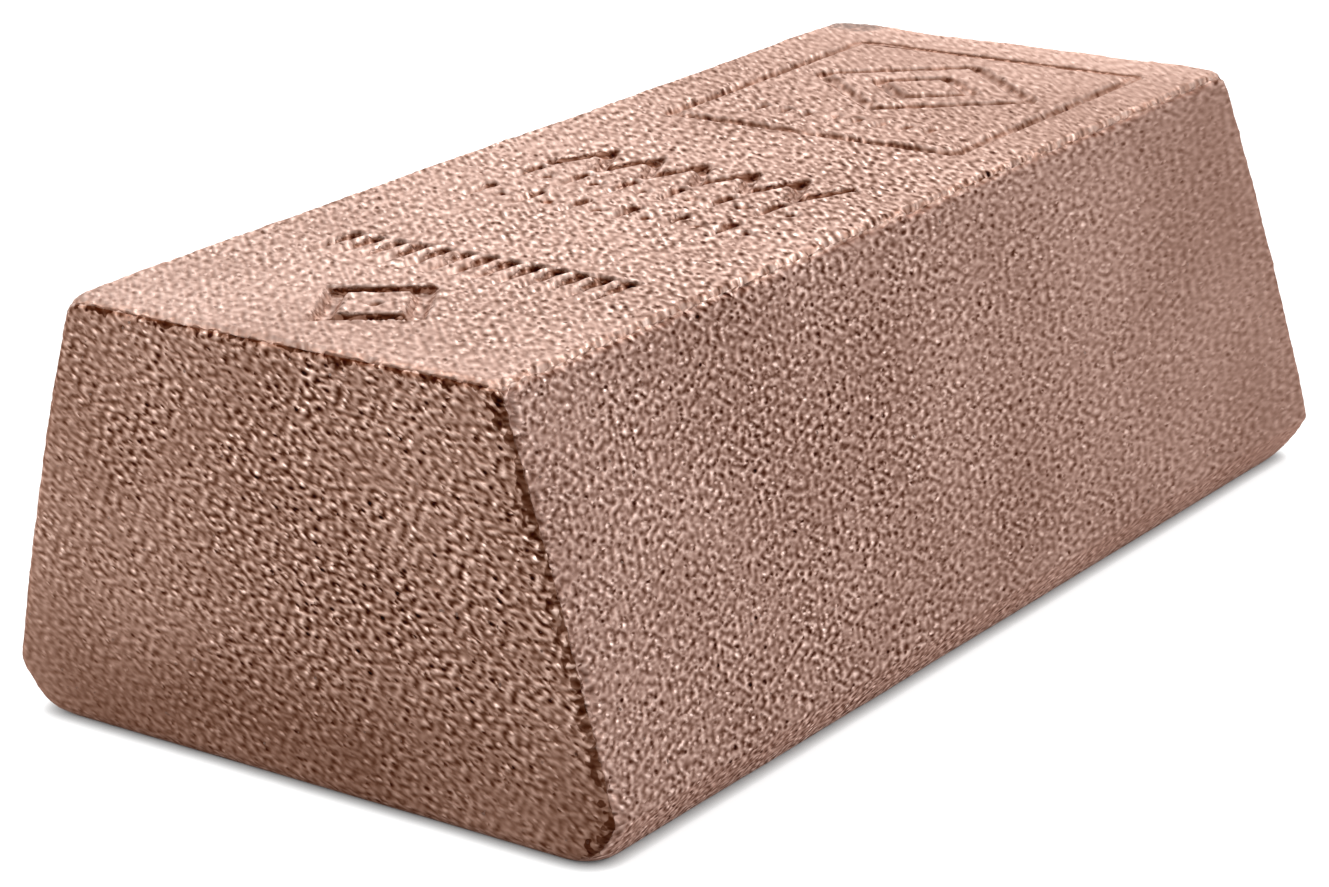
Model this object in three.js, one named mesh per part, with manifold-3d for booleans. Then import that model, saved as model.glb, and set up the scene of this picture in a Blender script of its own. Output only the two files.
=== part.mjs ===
// One-kilogram copper ingot: a short cast bar with drafted long sides, lying on its poured face.
// Millimetres, +Z up. X is the width, Y the length. The origin is the middle of the poured face.

import * as THREE from 'three';
import { ConvexGeometry } from 'three/addons/geometries/ConvexGeometry.js';
import { mergeVertices } from 'three/addons/utils/BufferGeometryUtils.js';
import Module from 'manifold-3d';

// Body, measured to the sharp corners that the edges round off.
const HEIGHT = 29.3;
const BASE_WIDTH = 51.6;
const BASE_LENGTH = 87.2;
const TOP_WIDTH = 35.3;
const TOP_LENGTH = 86.5;
const SIDE_CROWN = 0.4;
const END_CROWN = 0.15;

// Edges. The long edges of the poured face are drawn in where the melt skinned over, and its
// corners are rounder than the rest. One upright edge stayed crisp, and two opposite corners of
// the top face are rubbed rounder over a short way down.
const POURED_EDGE_RISE = 3.4;
const POURED_EDGE_INSET = 3.2;
const POURED_EDGE_POWER = 1.12;
const END_EDGE_RISE = 0.8;
const END_EDGE_INSET = 0.9;
const TOP_EDGE_RADIUS = 0.4;
const CORNER_RADIUS = 1.3;
const CRISP_CORNER_RADIUS = 0.5;
const POURED_CORNER_RADIUS = 2.2;
const RUBBED_CORNER_GAIN = 1.7;
const RUBBED_CORNER_RISE = 1.4;
const RUBBED_CORNER_POWER = 2;

// Where the marks stand on the top face. They are struck by hand, a little off the middle.
const MARK_MARGIN = 5.35;
const MARK_OFFSET = 0.5;
const NEAR_MARGIN = 3.9;
const FAR_MARGIN = 5.1;
const STROKE_GAP = 1.7;
const FINE_ROW_GAP = 1.9;
const ZIGZAG_GAP = 1.3;

// Punched lozenge with a raised pad, and a dimple in the pad.
const LOZENGE_SIDE = 7.2;
const LOZENGE_TURN = 32;
const LOZENGE_DEPTH = 0.75;
const LOZENGE_GROOVE = 1.5;

// Chisel strokes: how far each V cut spreads for its depth, and the rows they make.
const CHISEL_SPREAD = 0.72;
const CHISEL_END_SPREAD = 0.25;
const STROKE_LENGTH = 4.4;
const STROKE_PITCH = 1.88;
const STROKE_DEPTH = 1.15;
const STROKE_RUN_OUT = 0.25;
const FINE_ROW_HEIGHT = 3.2;
const FINE_ROW_PITCH = 2.04;
const FINE_ROW_DEPTH = 0.9;
const DIMPLE_DEPTH = 0.75;
const ZIGZAG_HEIGHT = 4.4;
const ZIGZAG_PITCH = 4.08;
const ZIGZAG_DEPTH = 0.9;

// Engraved square panel: a frame line, two lozenges one in the other, and a row of ticks.
const PANEL_LENGTH = 25.2;
const PANEL_LINE_SPREAD = 1.1;
const FRAME_DEPTH = 0.6;
const PANEL_LOZENGE_LENGTH = 14;
const PANEL_LOZENGE_DEPTH = 0.65;
const INNER_LOZENGE_SHARE = 0.45;
const PANEL_MARGIN = 3;
const TICK_LENGTH = 2.2;
const TICK_PITCH = 2.1;
const TICK_DEPTH = 0.7;
const WALL_DRAFT = 0.5;

const CORNER_SEGMENTS = 5;
const EDGE_SEGMENTS = 6;
const SIDE_SEGMENTS = 6;
const RUBBED_SEGMENTS = 3;
const CUT_CLEARANCE = 0.05;

const wasm = await Module();
wasm.setup();

function solidFrom(geometry) {
  geometry.deleteAttribute('normal');
  geometry.deleteAttribute('uv');
  const merged = mergeVertices(geometry, 1e-4);
  const mesh = new wasm.Mesh({
    numProp: 3,
    vertProperties: new Float32Array(merged.attributes.position.array),
    triVerts: new Uint32Array(merged.index.array),
  });
  return new wasm.Manifold(mesh);
}

function geometryFrom(solid) {
  const mesh = solid.getMesh();
  const geometry = new THREE.BufferGeometry();
  geometry.setAttribute('position', new THREE.BufferAttribute(mesh.vertProperties, 3));
  geometry.setIndex(new THREE.BufferAttribute(mesh.triVerts, 1));
  geometry.computeVertexNormals();
  return geometry;
}

// How far an edge has drawn in at a given distance from the face that it borders.
function edgeInset(distance, rise, inset, power) {
  if (distance >= rise) return 0;
  const share = 1 - distance / rise;
  return inset * (1 - Math.pow(1 - Math.pow(share, power), 1 / power));
}

function halfExtents(z) {
  const t = z / HEIGHT;
  const bow = 4 * t * (1 - t);
  const top = edgeInset(HEIGHT - z, TOP_EDGE_RADIUS, TOP_EDGE_RADIUS, 2);
  const side = edgeInset(z, POURED_EDGE_RISE, POURED_EDGE_INSET, POURED_EDGE_POWER);
  const end = edgeInset(z, END_EDGE_RISE, END_EDGE_INSET, POURED_EDGE_POWER);
  const halfWidth = THREE.MathUtils.lerp(BASE_WIDTH, TOP_WIDTH, t) / 2;
  const halfLength = THREE.MathUtils.lerp(BASE_LENGTH, TOP_LENGTH, t) / 2;
  return {
    x: halfWidth + SIDE_CROWN * bow - side - top,
    y: halfLength + END_CROWN * bow - end - top,
    poured: side / POURED_EDGE_INSET,
  };
}

// Heights of the rings: close together round the edges, evenly spaced on the sides.
function ringHeights() {
  const heights = [];
  for (let i = 0; i < EDGE_SEGMENTS; i += 1) {
    heights.push(POURED_EDGE_RISE * (1 - Math.cos((Math.PI / 2) * (i / EDGE_SEGMENTS))));
  }
  const sideTop = HEIGHT - TOP_EDGE_RADIUS;
  const rubbedFrom = HEIGHT - RUBBED_CORNER_RISE;
  for (let i = 0; i < SIDE_SEGMENTS; i += 1) {
    heights.push(THREE.MathUtils.lerp(POURED_EDGE_RISE, rubbedFrom, i / SIDE_SEGMENTS));
  }
  for (let i = 0; i < RUBBED_SEGMENTS; i += 1) {
    heights.push(THREE.MathUtils.lerp(rubbedFrom, sideTop, i / RUBBED_SEGMENTS));
  }
  for (let i = 0; i <= EDGE_SEGMENTS; i += 1) {
    heights.push(sideTop + TOP_EDGE_RADIUS * Math.sin((Math.PI / 2) * (i / EDGE_SEGMENTS)));
  }
  return heights;
}

// The radii of the four upright edges at a height, anticlockwise from +X +Y. The last is the crisp
// one, and the first and the third grow towards the top face, where they are rubbed.
function cornerRadii(z, poured) {
  const gain = edgeInset(HEIGHT - z, RUBBED_CORNER_RISE, RUBBED_CORNER_GAIN, RUBBED_CORNER_POWER);
  const rubbed = CORNER_RADIUS + gain;
  const radii = [rubbed, CORNER_RADIUS, rubbed, CRISP_CORNER_RADIUS];
  return radii.map((radius) => THREE.MathUtils.lerp(radius, POURED_CORNER_RADIUS, poured));
}

// A rectangle with rounded corners, anticlockwise seen from above.
function ringAt(z) {
  const { x, y, poured } = halfExtents(z);
  const radii = cornerRadii(z, poured);
  const points = [];
  const corners = [[1, 1], [-1, 1], [-1, -1], [1, -1]];
  corners.forEach(([signX, signY], corner) => {
    const r = Math.min(radii[corner], x, y);
    for (let i = 0; i <= CORNER_SEGMENTS; i += 1) {
      const angle = (Math.PI / 2) * (corner + i / CORNER_SEGMENTS);
      points.push([
        signX * (x - r) + r * Math.cos(angle),
        signY * (y - r) + r * Math.sin(angle),
        z,
      ]);
    }
  });
  return points;
}

// The casting: rings lofted from the poured face up to the top face, closed by both faces.
function castBody() {
  const rings = ringHeights().map(ringAt);
  const count = rings[0].length;
  const index = [];
  for (let level = 0; level + 1 < rings.length; level += 1) {
    for (let i = 0; i < count; i += 1) {
      const a = level * count + i;
      const b = level * count + ((i + 1) % count);
      index.push(a, b, b + count, a, b + count, a + count);
    }
  }
  const last = (rings.length - 1) * count;
  for (let i = 1; i + 1 < count; i += 1) {
    index.push(0, i + 1, i);
    index.push(last, last + i, last + i + 1);
  }
  const geometry = new THREE.BufferGeometry();
  geometry.setAttribute('position', new THREE.Float32BufferAttribute(rings.flat(2), 3));
  geometry.setIndex(index);
  return solidFrom(geometry);
}

// A V cut from one point of the top face to another, with its own depth at each end.
function chiselCut(from, to, fromDepth, toDepth, spread = CHISEL_SPREAD) {
  const along = new THREE.Vector2().subVectors(to, from).normalize();
  const across = new THREE.Vector2(-along.y, along.x);
  const lip = (point, depth, direction, side) => {
    const reach = depth + CUT_CLEARANCE;
    const corner = point.clone();
    corner.addScaledVector(along, direction * reach * CHISEL_END_SPREAD);
    corner.addScaledVector(across, side * reach * spread);
    return new THREE.Vector3(corner.x, corner.y, HEIGHT + CUT_CLEARANCE);
  };
  const points = [
    new THREE.Vector3(from.x, from.y, HEIGHT - fromDepth),
    new THREE.Vector3(to.x, to.y, HEIGHT - toDepth),
    lip(from, fromDepth, -1, -1),
    lip(from, fromDepth, -1, 1),
    lip(to, toDepth, 1, -1),
    lip(to, toDepth, 1, 1),
  ];
  return solidFrom(new ConvexGeometry(points));
}

// V cuts of one depth round a closed line of points.
function cutRound(tips, depth, spread) {
  return tips.map((tip, n) => chiselCut(tip, tips[(n + 1) % tips.length], depth, depth, spread));
}

// A four-sided punch dimple.
function dimple(centre, depth) {
  const reach = depth + CUT_CLEARANCE;
  const points = [new THREE.Vector3(centre.x, centre.y, HEIGHT - depth)];
  for (let i = 0; i < 4; i += 1) {
    const angle = (Math.PI / 2) * i;
    points.push(new THREE.Vector3(
      centre.x + reach * Math.cos(angle),
      centre.y + reach * Math.sin(angle),
      HEIGHT + CUT_CLEARANCE,
    ));
  }
  return solidFrom(new ConvexGeometry(points));
}

// Where each mark of a row stands across the face, centred on the bar.
function rowPositions(width, pitch) {
  const count = Math.max(1, Math.floor(width / pitch + 1e-6));
  return Array.from({ length: count }, (unused, i) => (i - (count - 1) / 2) * pitch);
}

const point = (x, y) => new THREE.Vector2(x, y);

function lozengeTips(centre, halfX, halfY) {
  const tips = [[0, -halfY], [halfX, 0], [0, halfY], [-halfX, 0]];
  return tips.map(([x, y]) => point(centre.x + x, centre.y + y));
}

// Strokes that run out towards the near end and bite deepest at the far one.
function strokeRow(width, y) {
  return rowPositions(width, STROKE_PITCH).map((x) => (
    chiselCut(point(x, y), point(x, y + STROKE_LENGTH), STROKE_RUN_OUT, STROKE_DEPTH)
  ));
}

// Short wedges, deepest at the far end, and dimples by turns.
function fineRow(width, y) {
  const middle = y + FINE_ROW_HEIGHT / 2;
  return rowPositions(width, FINE_ROW_PITCH).map((x, i) => {
    if (i % 2) return dimple(point(x, middle), DIMPLE_DEPTH);
    const top = point(x, y + FINE_ROW_HEIGHT);
    return chiselCut(point(x, y), top, STROKE_RUN_OUT, FINE_ROW_DEPTH);
  });
}

// A zigzag line that fills its row from side to side.
function zigzagRow(width, y) {
  const turns = rowPositions(width, ZIGZAG_PITCH / 2).map((x, i) => (
    point(x, y + (i % 2) * ZIGZAG_HEIGHT)
  ));
  return turns.slice(1).map((turn, i) => chiselCut(turns[i], turn, ZIGZAG_DEPTH, ZIGZAG_DEPTH));
}

const QUADRANTS = [[-1, -1], [1, -1], [1, 1], [-1, 1]];

function rectangleTips(x, y, halfX, halfY) {
  return QUADRANTS.map(([a, b]) => point(x + a * halfX, y + b * halfY));
}

const square = (x, y, half) => new THREE.Shape(rectangleTips(x, y, half, half));

// A block through the top face with a flat floor. It opens upwards by the slope of its walls.
function slopedBlock(shape, depth, slope) {
  const geometry = new THREE.ExtrudeGeometry(shape, {
    depth: 2 * CUT_CLEARANCE,
    bevelThickness: depth - CUT_CLEARANCE,
    bevelSize: slope,
    bevelOffset: -slope,
    bevelSegments: 1,
  });
  geometry.translate(0, 0, HEIGHT - CUT_CLEARANCE);
  return solidFrom(geometry);
}

// A recess with sloping walls, in which pads stay standing. The groove is the narrowest gap
// beside a pad, and the slope leaves some floor in it.
function recess(field, pads, depth, groove) {
  const slope = Math.min(depth * WALL_DRAFT, 0.4 * groove);
  const through = depth + CUT_CLEARANCE;
  return pads.reduce(
    (cut, pad) => cut.subtract(slopedBlock(pad, through, -slope)),
    slopedBlock(field, depth, slope),
  );
}

function stampedLozenge(y) {
  const half = LOZENGE_SIDE / 2;
  const pad = square(0, 0, half - LOZENGE_GROOVE);
  const cut = recess(square(0, 0, half), [pad], LOZENGE_DEPTH, LOZENGE_GROOVE);
  return cut.add(dimple(point(0, 0), DIMPLE_DEPTH)).rotate([0, 0, LOZENGE_TURN]).translate([0, y, 0]);
}

// The lozenges stand towards the far side of the frame, and the ticks run along its near side.
function engravedPanel(width, y) {
  const halfX = width / 2;
  const halfY = PANEL_LENGTH / 2;
  const reachX = halfX - PANEL_MARGIN;
  const reachY = PANEL_LOZENGE_LENGTH / 2;
  const middle = point(0, y + halfY - PANEL_MARGIN - reachY);
  const inner = lozengeTips(middle, reachX * INNER_LOZENGE_SHARE, reachY * INNER_LOZENGE_SHARE);
  const ticksY = y - halfY + PANEL_MARGIN;
  return [
    ...cutRound(rectangleTips(0, y, halfX, halfY), FRAME_DEPTH, PANEL_LINE_SPREAD),
    ...cutRound(lozengeTips(middle, reachX, reachY), PANEL_LOZENGE_DEPTH, PANEL_LINE_SPREAD),
    ...cutRound(inner, PANEL_LOZENGE_DEPTH, PANEL_LINE_SPREAD),
    ...rowPositions(2 * reachX, TICK_PITCH).map((x) => (
      chiselCut(point(x, ticksY), point(x, ticksY + TICK_LENGTH), STROKE_RUN_OUT, TICK_DEPTH)
    )),
  ];
}

// The marks in their order along the bar: a near group, a middle group and the far panel.
function topMarks() {
  const width = TOP_WIDTH - 2 * MARK_MARGIN;
  const lozengeReach = LOZENGE_SIDE / Math.SQRT2;
  const lozengeMiddle = -TOP_LENGTH / 2 + NEAR_MARGIN + lozengeReach;
  const strokes = lozengeMiddle + lozengeReach + STROKE_GAP;
  const nearGroupEnd = strokes + STROKE_LENGTH;
  const panelStart = TOP_LENGTH / 2 - FAR_MARGIN - PANEL_LENGTH;
  const block = 2 * FINE_ROW_HEIGHT + FINE_ROW_GAP + ZIGZAG_GAP + ZIGZAG_HEIGHT;
  const firstRow = (nearGroupEnd + panelStart - block) / 2;
  const secondRow = firstRow + FINE_ROW_HEIGHT + FINE_ROW_GAP;
  const thirdRow = secondRow + FINE_ROW_HEIGHT + ZIGZAG_GAP;
  return [
    stampedLozenge(lozengeMiddle),
    ...strokeRow(width, strokes),
    ...fineRow(width, firstRow),
    ...fineRow(width, secondRow),
    ...zigzagRow(width, thirdRow),
    ...engravedPanel(width, panelStart + PANEL_LENGTH / 2),
  ];
}

function ingotSolid() {
  const marks = topMarks().reduce((all, mark) => all.add(mark));
  return castBody().subtract(marks.translate([MARK_OFFSET, 0, 0]));
}

const copper = new THREE.MeshStandardMaterial({
  name: 'cast copper',
  color: 0xb98e7c,
  roughness: 0.72,
  metalness: 0.55,
  flatShading: true,
});

const ingot = new THREE.Mesh(geometryFrom(ingotSolid()), copper);
ingot.name = 'ingot';

const group = new THREE.Group();
group.name = 'copper_ingot';
group.add(ingot);

export default group;
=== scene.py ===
# %% [markdown]
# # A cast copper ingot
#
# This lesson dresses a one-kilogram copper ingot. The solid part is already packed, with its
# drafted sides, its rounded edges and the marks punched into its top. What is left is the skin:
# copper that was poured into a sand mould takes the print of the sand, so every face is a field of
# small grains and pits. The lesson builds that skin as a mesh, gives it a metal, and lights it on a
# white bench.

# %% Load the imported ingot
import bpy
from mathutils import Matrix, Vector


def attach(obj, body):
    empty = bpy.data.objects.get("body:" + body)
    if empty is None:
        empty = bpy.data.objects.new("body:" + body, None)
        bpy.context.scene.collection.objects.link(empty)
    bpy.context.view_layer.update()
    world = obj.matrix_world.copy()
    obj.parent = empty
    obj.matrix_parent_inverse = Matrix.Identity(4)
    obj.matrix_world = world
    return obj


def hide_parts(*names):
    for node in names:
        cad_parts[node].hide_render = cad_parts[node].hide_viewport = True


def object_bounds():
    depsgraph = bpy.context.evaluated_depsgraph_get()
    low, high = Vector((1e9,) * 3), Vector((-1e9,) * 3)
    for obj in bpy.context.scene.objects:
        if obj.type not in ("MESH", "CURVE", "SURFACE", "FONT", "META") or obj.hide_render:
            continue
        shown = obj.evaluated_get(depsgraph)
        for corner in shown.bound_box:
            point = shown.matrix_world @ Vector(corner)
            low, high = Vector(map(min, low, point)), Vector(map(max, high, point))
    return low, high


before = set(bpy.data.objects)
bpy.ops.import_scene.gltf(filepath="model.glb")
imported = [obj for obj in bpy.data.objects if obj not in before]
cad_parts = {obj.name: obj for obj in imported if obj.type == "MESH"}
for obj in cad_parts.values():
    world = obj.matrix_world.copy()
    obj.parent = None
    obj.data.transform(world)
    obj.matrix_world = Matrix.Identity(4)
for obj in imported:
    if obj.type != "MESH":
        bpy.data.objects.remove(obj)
cad_box = [list(corner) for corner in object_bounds()]

import math

import bmesh
import bpy
import numpy as np
from mathutils import Matrix, Vector

MM = 0.001
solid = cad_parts["ingot"]
low, high = (np.array(corner) for corner in cad_box)
print("ingot, mm:", np.round((high - low) / MM, 2))

# %% [markdown]
# ## The section
#
# The grid of the skin has to follow a block whose sides lean. Its width and length at the foot and
# at the top are read from the solid, so the skin fits whatever size the ingot has. The slope of a
# side is taken between two heights on its straight part and carried on to both faces. Typing the
# four sizes in would be shorter, but then the skin would stay behind when the part changes.

# %% Read the section from the solid
HEIGHT = float(high[2])
LOW_SHARE, HIGH_SHARE = 0.25, 0.83
SEARCH_BAND, LEVEL_BAND = 0.08, 0.05
points = np.zeros(len(solid.data.vertices) * 3, np.float32)
solid.data.vertices.foreach_get("co", points)
points = points.reshape(-1, 3)


def reach_at(share):
    """Half width, half length and height of the solid's points near a share of its height."""
    near = np.abs(points[:, 2] - share * HEIGHT) < SEARCH_BAND * HEIGHT
    level = points[near]
    level = level[np.abs(level[:, 2] - level[:, 2].mean()) < LEVEL_BAND * HEIGHT]
    return float(level[:, 0].max()), float(level[:, 1].max()), float(level[:, 2].mean())


lower, upper = reach_at(LOW_SHARE), reach_at(HIGH_SHARE)
lean = [(upper[i] - lower[i]) / (upper[2] - lower[2]) for i in (0, 1)]
foot = [lower[i] - lean[i] * lower[2] for i in (0, 1)]
head = [foot[i] + lean[i] * HEIGHT for i in (0, 1)]
print("half width and length at the foot, mm:", [round(v / MM, 2) for v in foot])
print("half width and length at the top, mm:", [round(v / MM, 2) for v in head])

# %% [markdown]
# ## Small helpers for node trees
#
# Both the skin and the metal are node trees. A node is added with its settings and its inputs in
# one line: a number or a colour is set on the socket, and anything else is linked to it. The other
# helpers are the steps that come back all the time: a product, a sum, the three parts of a vector,
# and a value that runs from one number to another while its input crosses a range.

# %% Node helpers
def add_node(tree, kind, settings=None, **inputs):
    """A node whose inputs, named or numbered as _0, _1 ..., are values or sockets."""
    node = tree.nodes.new(kind)
    for name, value in (settings or {}).items():
        setattr(node, name, value)
    for name, value in inputs.items():
        key = int(name[1:]) if name[0] == "_" else name.replace("_", " ")
        socket = node.inputs[key]
        if isinstance(value, bpy.types.NodeSocket):
            tree.links.new(value, socket)
        else:
            socket.default_value = value
    return node


def numbered(values):
    """Values as the numbered inputs of a node."""
    return {f"_{i}": value for i, value in enumerate(values)}


def maths(tree, operation, *values):
    """A Math node's result."""
    settings = {"operation": operation}
    return add_node(tree, "ShaderNodeMath", settings, **numbered(values)).outputs[0]


def product(tree, result, *others):
    """All the values multiplied, from left to right."""
    for other in others:
        result = maths(tree, "MULTIPLY", result, other)
    return result


def total(tree, result, *others):
    """All the values added, from left to right."""
    for other in others:
        result = maths(tree, "ADD", result, other)
    return result


def vector_maths(tree, operation, *values):
    """A Vector Math node's vector. SCALE takes a vector and a number."""
    inputs = numbered(values)
    if operation == "SCALE":
        inputs = {"_0": values[0], "Scale": values[1]}
    return add_node(tree, "ShaderNodeVectorMath", {"operation": operation}, **inputs).outputs[0]


def combine(tree, *parts):
    """A vector from its first one, two or three numbers."""
    return add_node(tree, "ShaderNodeCombineXYZ", **numbered(parts)).outputs[0]


def separate(tree, vector):
    """The three numbers of a vector."""
    return add_node(tree, "ShaderNodeSeparateXYZ", _0=vector).outputs


def remap(tree, value, span, result=(0.0, 1.0), smooth=False):
    """Crosses the result while the value crosses the span, and holds its ends outside it."""
    kind = "SMOOTHSTEP" if smooth else "LINEAR"
    node = add_node(tree, "ShaderNodeMapRange", {"interpolation_type": kind},
                    _0=value, _1=span[0], _2=span[1], _3=result[0], _4=result[1])
    return node.outputs[0]


def over(tree, value, span_mm, result=(0.0, 1.0), smooth=False):
    """A remap whose span is in millimetres."""
    return remap(tree, value, (span_mm[0] * MM, span_mm[1] * MM), result, smooth)


FALL = (1.0, 0.0)

# %% [markdown]
# ## The skin
#
# The skin of a sand casting repeats one rule all over: a fine sheet that follows the block and
# rises and falls with the sand. That is work for Geometry Nodes. A box of grid lines, closer
# together near the edges, stands a little outside the block. Each of its points looks inwards and
# lands on the solid, so marks and rounded edges come along. The sheet is softened a little, as
# metal that ran into the mould is never quite sharp, and then lifted and sunk along its normals by
# the print of the sand.
#
# A voxel remesh would be simpler, but it spends as many faces on the middle of a face as on an
# edge, and the edges are where the grain shows against the light.

# %% Inputs of the skin's node tree
skin_tree = bpy.data.node_groups.new("cast_skin", "GeometryNodeTree")
interface = skin_tree.interface
interface.new_socket("Solid", in_out="INPUT", socket_type="NodeSocketGeometry")
interface.new_socket("Skin", in_out="OUTPUT", socket_type="NodeSocketGeometry")
skin_values = {
    "Lines across": ("Int", 181), "Lines along": ("Int", 441), "Lines up": ("Int", 151),
    "Foot half width": ("Float", foot[0]), "Foot half length": ("Float", foot[1]),
    "Top half width": ("Float", head[0]), "Top half length": ("Float", head[1]),
    "Height": ("Float", HEIGHT),
    "Stand off": ("Float", 1.0 * MM), "Core depth": ("Float", 3.0 * MM),
    "Edge grading": ("Float", 0.27),
    "Soften passes": ("Int", 1),
    "Swell height": ("Float", 0.10 * MM), "Swell size": ("Float", 14.0 * MM),
    "Sand height": ("Float", 0.05 * MM), "Sand size": ("Float", 1.1 * MM),
    "Grain height": ("Float", 0.07 * MM), "Grain size": ("Float", 0.62 * MM),
    "Edge wear": ("Float", 0.50 * MM),
    "Lip passes": ("Int", 3), "Lip share": ("Float", 0.8),
    "Seed": ("Float", 7.0),
}
sockets = {}
for name, (kind, value) in skin_values.items():
    sockets[name] = interface.new_socket(name, in_out="INPUT", socket_type=f"NodeSocket{kind}")
sockets["Metal"] = interface.new_socket("Metal", in_out="INPUT", socket_type="NodeSocketMaterial")
print("the skin takes", len(sockets), "inputs")

# %% The box of grid lines round the block
group_in = add_node(skin_tree, "NodeGroupInput")
value_of = {s.name: s for s in group_in.outputs}
grid = add_node(skin_tree, "GeometryNodeMeshCube", Size=(2.0, 2.0, 2.0),
                Vertices_X=value_of["Lines across"], Vertices_Y=value_of["Lines along"],
                Vertices_Z=value_of["Lines up"])
axes = separate(skin_tree, add_node(skin_tree, "GeometryNodeInputPosition").outputs[0])


def graded(share):
    """Moves a coordinate from -1 to 1 so that lines crowd towards both ends."""
    cube = maths(skin_tree, "POWER", share, 3.0)
    middle = maths(skin_tree, "ADD", value_of["Edge grading"], 1.0)
    wide = maths(skin_tree, "MULTIPLY", share, middle)
    pull = maths(skin_tree, "MULTIPLY", cube, value_of["Edge grading"])
    return maths(skin_tree, "SUBTRACT", wide, pull)


across, along, up = (graded(axis) for axis in axes)
rise = maths(skin_tree, "MULTIPLY_ADD", up, 0.5, 0.5)


def between(first, second):
    """A value that runs from the foot to the top of the block."""
    span = maths(skin_tree, "SUBTRACT", value_of[second], value_of[first])
    return maths(skin_tree, "MULTIPLY_ADD", rise, span, value_of[first])


def held(spot, lowest, highest):
    """A coordinate kept inside the core that the grid's points look at."""
    return maths(skin_tree, "MAXIMUM", maths(skin_tree, "MINIMUM", spot, highest), lowest)


half_width = between("Foot half width", "Top half width")
half_length = between("Foot half length", "Top half length")
outer, inner = [], []
for share, half in ((across, half_width), (along, half_length)):
    spot = product(skin_tree, share, total(skin_tree, half, value_of["Stand off"]))
    core = maths(skin_tree, "SUBTRACT", half, value_of["Core depth"])
    outer.append(spot)
    inner.append(held(spot, product(skin_tree, core, -1.0), core))
tall = maths(skin_tree, "MULTIPLY_ADD", value_of["Stand off"], 2.0, value_of["Height"])
spot = maths(skin_tree, "SUBTRACT", product(skin_tree, rise, tall), value_of["Stand off"])
core_top = maths(skin_tree, "SUBTRACT", value_of["Height"], value_of["Core depth"])
cage = combine(skin_tree, *outer, spot)
core = combine(skin_tree, *inner, held(spot, value_of["Core depth"], core_top))
print("the box takes", len(skin_tree.nodes), "nodes")

# %% Drop the grid on the solid and soften it
LOOK_REACH = 20.0 * MM
SOFTEN_WEIGHT = 0.7


def look_at_solid(start, direction, reach):
    """A ray from a point to the solid."""
    return add_node(skin_tree, "GeometryNodeRaycast", {"data_type": "FLOAT"},
                    Target_Geometry=value_of["Solid"], Source_Position=start,
                    Ray_Direction=direction, Ray_Length=reach).outputs


def evened(kind, value, passes, weight):
    """A value evened out among the neighbours of each point."""
    return add_node(skin_tree, "GeometryNodeBlurAttribute", {"data_type": kind}, Value=value,
                    Iterations=passes, Weight=weight).outputs[0]


look = look_at_solid(cage, vector_maths(skin_tree, "SUBTRACT", core, cage), LOOK_REACH)
landed = add_node(skin_tree, "GeometryNodeSetPosition", Geometry=grid.outputs["Mesh"],
                  Selection=look["Is Hit"], Position=look["Hit Position"])
place = add_node(skin_tree, "GeometryNodeInputPosition").outputs[0]
soft_place = evened("FLOAT_VECTOR", place, value_of["Soften passes"], SOFTEN_WEIGHT)
softened = add_node(skin_tree, "GeometryNodeSetPosition", Geometry=landed.outputs[0],
                    Position=soft_place)
print("passes that soften the sheet:", skin_values["Soften passes"][1])

# %% [markdown]
# ## Where the edges and the marks are
#
# The edges of the real bar are rubbed and ragged, and each punched mark has a lip where the punch
# pushed the metal up. The metal also paints light and shade at these places: a thin dark rim of
# painted shade along the top and upright edges of the end face, painted shade on the walls of the
# marks that lean away from the key light, and painted highlights on the lips and along the crest of
# the top edge. Both the relief and the metal need to know where these places are. They could be
# painted by hand, but a mask that is worked out from the shape follows it at any size.
#
# Each point gets three distances. A ray starts outside the block, level with the point, and finds
# the outline there: what is left between the outline and the point is its distance to the side or
# to the end. The third distance is its depth under the top. The way that a point faces tells the
# faces apart.

# %% Distances to the side, to the end and to the top
PROBE_FROM = 100.0 * MM
PROBE_UNDER_TOP = 0.5 * MM
PROBE_SHARE = 0.98
normal = add_node(skin_tree, "GeometryNodeInputNormal").outputs[0]
x_here, y_here, z_here = separate(skin_tree, place)
x_facing, y_facing, z_facing = separate(skin_tree, normal)
under_top = maths(skin_tree, "SUBTRACT", value_of["Height"], PROBE_UNDER_TOP)
level = maths(skin_tree, "MINIMUM", z_here, under_top)


def inside(axis, here, beside):
    """How far a point lies inside the section at its height, along X or Y."""
    beside = maths(skin_tree, "MULTIPLY", beside, PROBE_SHARE)
    start = (PROBE_FROM, beside) if axis == 0 else (beside, PROBE_FROM)
    inwards = tuple(-1.0 if i == axis else 0.0 for i in range(3))
    probe = look_at_solid(combine(skin_tree, *start, level), inwards, PROBE_FROM)
    outline = maths(skin_tree, "SUBTRACT", PROBE_FROM, probe["Hit Distance"])
    return maths(skin_tree, "SUBTRACT", outline, maths(skin_tree, "ABSOLUTE", here))


to_side, to_end = inside(0, x_here, y_here), inside(1, y_here, x_here)
to_top = maths(skin_tree, "SUBTRACT", value_of["Height"], z_here)
to_outline = maths(skin_tree, "MINIMUM", to_side, to_end)
edge_top_side = maths(skin_tree, "MAXIMUM", to_top, to_side)
edge_top_end = maths(skin_tree, "MAXIMUM", to_top, to_end)
edge_side_end = maths(skin_tree, "MAXIMUM", to_side, to_end)
print("the rays to the outline start", round(PROBE_FROM / MM), "mm out")
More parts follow.
